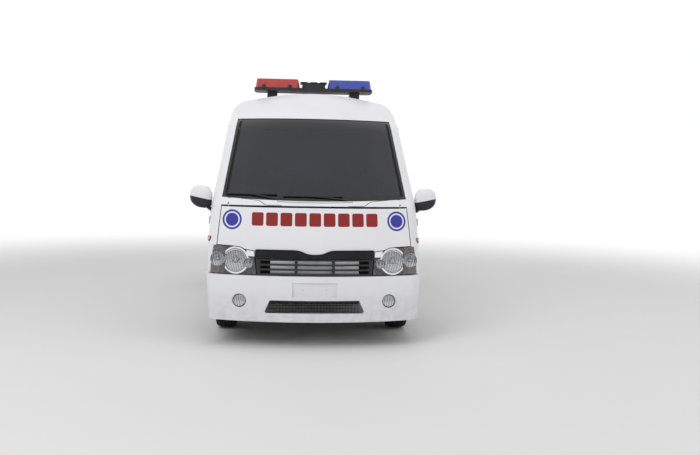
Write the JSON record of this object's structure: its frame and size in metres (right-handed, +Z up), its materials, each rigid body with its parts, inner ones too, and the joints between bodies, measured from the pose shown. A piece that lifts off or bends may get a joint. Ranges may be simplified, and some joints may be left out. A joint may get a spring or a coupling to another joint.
{
  "type": "ambulance",
  "caption": "High-roof forward-control ambulance van with hinged cab doors, tailgate and bonnet, a sliding side door, roof light bar, steered front wheels and patient space.",
  "frame": {"origin": "on the ground under the middle of the vehicle", "axes": "+X to the vehicle's left, +Y to its rear, +Z up"},
  "size_m": [2.2564, 5.38, 2.4379],
  "materials": {
    "body_paint": "gloss",
    "bumper_paint": "gloss",
    "glass": "gloss",
    "clear_lens": "gloss",
    "red_lens": "gloss",
    "blue_lens": "gloss",
    "black_plastic": "satin",
    "lamp_housing": "gloss",
    "interior_trim": "matt",
    "floor_sheet": "matt",
    "chassis_paint": "satin",
    "cast_metal": "matt",
    "steel": "satin",
    "wheel_paint": "satin",
    "tyre_rubber": "matt",
    "seat_fabric": "matt",
    "vinyl": "satin",
    "aluminium": "satin",
    "cabinet_laminate": "satin"
  },
  "bodies": {
    "body": {"side_left": "body_paint", "side_right": "body_paint", "roof": "body_paint", "windscreen": "glass", "fixed_windows": "glass", "sliding_door": "body_paint", "cowl_panel": "body_paint", "headlamp_housings": "lamp_housing", "headlamp_lenses": "clear_lens", "grille": "black_plastic", "tail_lamps": "red_lens", "front_bumper": "bumper_paint", "rear_bumper": "bumper_paint", "cab_floor": "floor_sheet", "load_floor": "floor_sheet", "rear_wheel_tubs": "floor_sheet", "partition": "interior_trim", "chassis_rails": "chassis_paint", "crossmembers": "chassis_paint", "radiator": "aluminium", "powertrain": "cast_metal", "exhaust": "steel", "fuel_tank": "black_plastic", "front_suspension": "chassis_paint", "rear_axle": "chassis_paint", "spare_wheel": "tyre_rubber", "dashboard": "interior_trim", "steering_wheel": "black_plastic", "front_seats": "seat_fabric", "stretcher_frame": "aluminium", "stretcher_mattress": "vinyl", "bench_base": "cabinet_laminate", "bench_cushion": "vinyl", "medical_cabinet": "cabinet_laminate", "light_bar_base": "black_plastic", "light_bar_blue": "blue_lens", "light_bar_red": "red_lens", "wipers": "black_plastic"},
    "door_left": {"door_left": "body_paint", "door_glass_left": "glass", "mirror_left": "black_plastic"},
    "door_right": {"door_right": "body_paint", "door_glass_right": "glass", "mirror_right": "black_plastic"},
    "tailgate": {"tailgate": "body_paint", "tailgate_glass": "glass"},
    "bonnet": {"bonnet": "body_paint"},
    "knuckle_left": {"knuckle_left": "cast_metal"},
    "knuckle_right": {"knuckle_right": "cast_metal"},
    "wheel_front_left": {"rim_front_left": "wheel_paint", "tyre_front_left": "tyre_rubber"},
    "wheel_front_right": {"rim_front_right": "wheel_paint", "tyre_front_right": "tyre_rubber"},
    "wheel_rear_left": {"rim_rear_left": "wheel_paint", "tyre_rear_left": "tyre_rubber"},
    "wheel_rear_right": {"rim_rear_right": "wheel_paint", "tyre_rear_right": "tyre_rubber"}
  },
  "joints": [
    {"name": "steer_left", "type": "hinge", "parent": "body", "child": "knuckle_left", "pos_m": [0.755, -1.68, 0.347], "axis": [0, 0, 1], "range_deg": [-35, 35]},
    {"name": "steer_right", "type": "hinge", "parent": "body", "child": "knuckle_right", "pos_m": [-0.755, -1.68, 0.347], "axis": [0, 0, 1], "range_deg": [-35, 35]},
    {"name": "roll_front_left", "type": "hinge", "parent": "knuckle_left", "child": "wheel_front_left", "pos_m": [0.815, -1.68, 0.347], "axis": [1, 0, 0], "continuous": true},
    {"name": "roll_front_right", "type": "hinge", "parent": "knuckle_right", "child": "wheel_front_right", "pos_m": [-0.815, -1.68, 0.347], "axis": [1, 0, 0], "continuous": true},
    {"name": "roll_rear_left", "type": "hinge", "parent": "body", "child": "wheel_rear_left", "pos_m": [0.815, 1.43, 0.347], "axis": [1, 0, 0], "continuous": true},
    {"name": "roll_rear_right", "type": "hinge", "parent": "body", "child": "wheel_rear_right", "pos_m": [-0.815, 1.43, 0.347], "axis": [1, 0, 0], "continuous": true},
    {"name": "open_door_left", "type": "hinge", "parent": "body", "child": "door_left", "pos_m": [0.95567, -2.2285, 0], "axis": [0.0245, 0, -0.9997], "range_deg": [0, 70]},
    {"name": "open_door_right", "type": "hinge", "parent": "body", "child": "door_right", "pos_m": [-0.95567, -2.2285, 0], "axis": [0.0245, 0, 0.9997], "range_deg": [0, 70]},
    {"name": "open_tailgate", "type": "hinge", "parent": "body", "child": "tailgate", "pos_m": [0, 2.52, 1.9275], "axis": [1, 0, 0], "range_deg": [0, 85]},
    {"name": "open_bonnet", "type": "hinge", "parent": "body", "child": "bonnet", "pos_m": [0, -2.29, 1.205], "axis": [-1, 0, 0], "range_deg": [0, 65]}
  ],
  "couplings": [
    {"joint": "steer_right", "follows": "steer_left", "ratio": 1}
  ]
}
